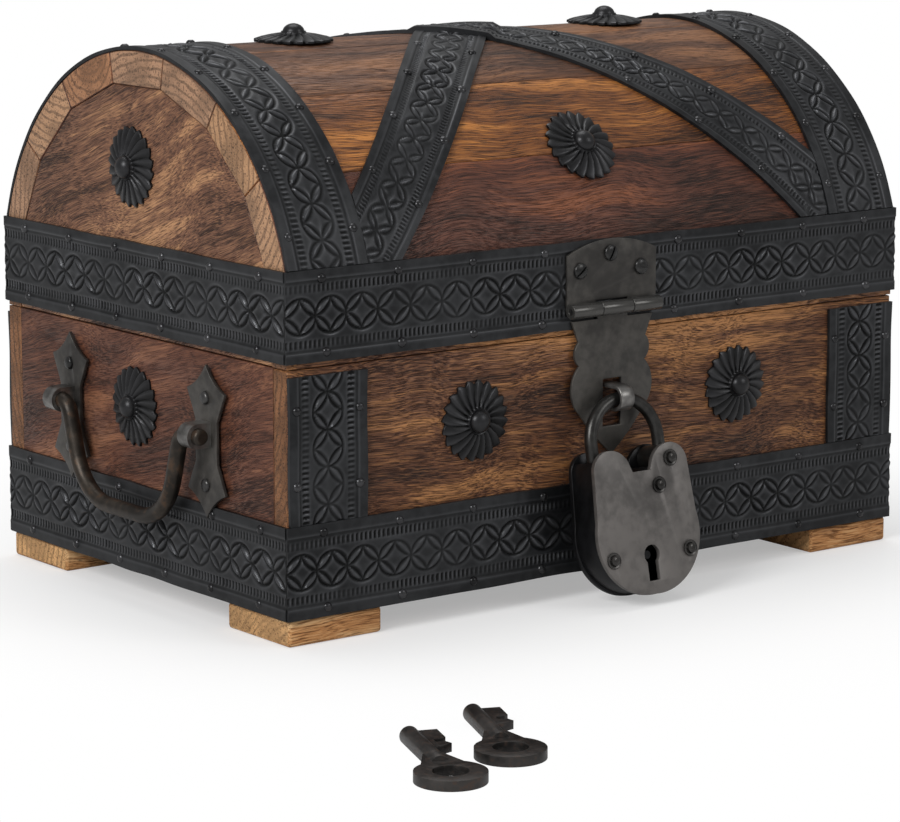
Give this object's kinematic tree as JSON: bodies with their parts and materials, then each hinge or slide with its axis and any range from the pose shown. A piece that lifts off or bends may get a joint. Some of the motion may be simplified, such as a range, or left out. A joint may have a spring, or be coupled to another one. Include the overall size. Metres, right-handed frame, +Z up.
{
  "type": "treasure chest box",
  "caption": "Wooden domed-lid treasure chest with embossed iron straps, side bail handles, hasp, padlock and keys.",
  "frame": {"origin": "middle of the whole set on the ground, padlock, handles and the keys laid in front included", "axes": "+Z up, -Y towards the chest's front, +X to the right seen from the front"},
  "size_m": [0.384, 0.3878, 0.218],
  "materials": {
    "body_wood": "stained, satin",
    "lid_wood": "stained, satin",
    "foot_wood": "raw sawn",
    "black_iron": "blackened, embossed",
    "bright_steel": "rubbed bare",
    "screw_steel": "darkened",
    "brown_iron": "oiled",
    "lock_iron": "burnished black",
    "key_iron": "blackened"
  },
  "bodies": {
    "chest": {"bottom_board": "body_wood", "front_board": "body_wood", "back_board": "body_wood", "left_board": "body_wood", "right_board": "body_wood", "feet": "foot_wood", "lower_band_front": "black_iron", "lower_band_back": "black_iron", "lower_band_left": "black_iron", "lower_band_right": "black_iron", "corner_straps_front": "black_iron", "corner_straps_back": "black_iron", "rosettes_body": "black_iron", "handle_plates": "black_iron", "handle_eyes": "bright_steel", "handle_screws": "screw_steel", "staple": "bright_steel", "hinge_leaves_body": "black_iron", "hinge_pins": "screw_steel", "hinge_screws_body": "screw_steel"},
    "lid": {"lid_rail_front": "lid_wood", "lid_rail_back": "lid_wood", "lid_end_left": "lid_wood", "lid_end_right": "lid_wood", "stave_1": "lid_wood", "stave_2": "lid_wood", "stave_3": "lid_wood", "stave_4": "lid_wood", "stave_5": "lid_wood", "stave_6": "lid_wood", "stave_7": "lid_wood", "lid_band_front": "black_iron", "lid_band_back": "black_iron", "lid_band_left": "black_iron", "lid_band_right": "black_iron", "end_strap_left": "black_iron", "end_strap_right": "black_iron", "cross_strap_lower": "black_iron", "cross_strap_upper": "black_iron", "rosettes_lid": "black_iron", "hasp_plate": "black_iron", "hasp_pin": "screw_steel", "hasp_screws": "screw_steel", "hinge_leaves_lid": "black_iron", "hinge_screws_lid": "screw_steel"},
    "hasp": {"hasp_leaf": "black_iron"},
    "bail_left": {"bail_left": "brown_iron"},
    "bail_right": {"bail_right": "brown_iron"},
    "shackle": {"shackle": "lock_iron"},
    "lock_case": {"lock_front_plate": "lock_iron", "lock_back_plate": "lock_iron", "lock_rim": "lock_iron", "lock_rivets": "lock_iron", "key_post": "lock_iron", "bolt_spring": "screw_steel"},
    "lock_bolt": {"lock_bolt": "screw_steel"},
    "key_1": {"key_1": "key_iron"},
    "key_2": {"key_2": "key_iron"}
  },
  "joints": [
    {"name": "lid_open", "type": "hinge", "parent": "chest", "child": "lid", "pos_m": [0.02902, 0.1914, 0.1027], "axis": [-1, 0, 0], "range_deg": [0, 105]},
    {"name": "hasp_swing", "type": "hinge", "parent": "lid", "child": "hasp", "pos_m": [0.02902, -0.0115, 0.1122], "axis": [-1, 0, 0], "range_deg": [0, 157.5]},
    {"name": "bail_left_swing", "type": "hinge", "parent": "chest", "child": "bail_left", "pos_m": [-0.12918, 0.0901, 0.0725], "axis": [0, 1, 0], "range_deg": [-3, 178]},
    {"name": "bail_right_swing", "type": "hinge", "parent": "chest", "child": "bail_right", "pos_m": [0.18723, 0.0901, 0.0725], "axis": [0, -1, 0], "range_deg": [-3, 178]},
    {"name": "padlock_swing", "type": "hinge", "parent": "chest", "child": "shackle", "pos_m": [0.02902, -0.0144, 0.0772], "axis": [-1, 0, 0], "range_deg": [-6, 70]},
    {"name": "shackle_open", "type": "hinge", "parent": "shackle", "child": "lock_case", "pos_m": [0.04372, -0.0196, 0.05275], "axis": [0, -0.9781, 0.2079], "range_deg": [0, 70]},
    {"name": "bolt_slide", "type": "slide", "parent": "lock_case", "child": "lock_bolt", "axis": [-1, 0, 0], "range_m": [0, 0.002]},
    {"name": "key_1_lift", "type": "slide", "parent": "chest", "child": "key_1", "axis": [0, 0, 1], "range_m": [0, 0.1]},
    {"name": "key_2_lift", "type": "slide", "parent": "chest", "child": "key_2", "axis": [0, 0, 1], "range_m": [0, 0.1]}
  ],
  "couplings": [
    {"joint": "hasp_swing", "follows": "lid_open", "ratio": 1.5}
  ]
}
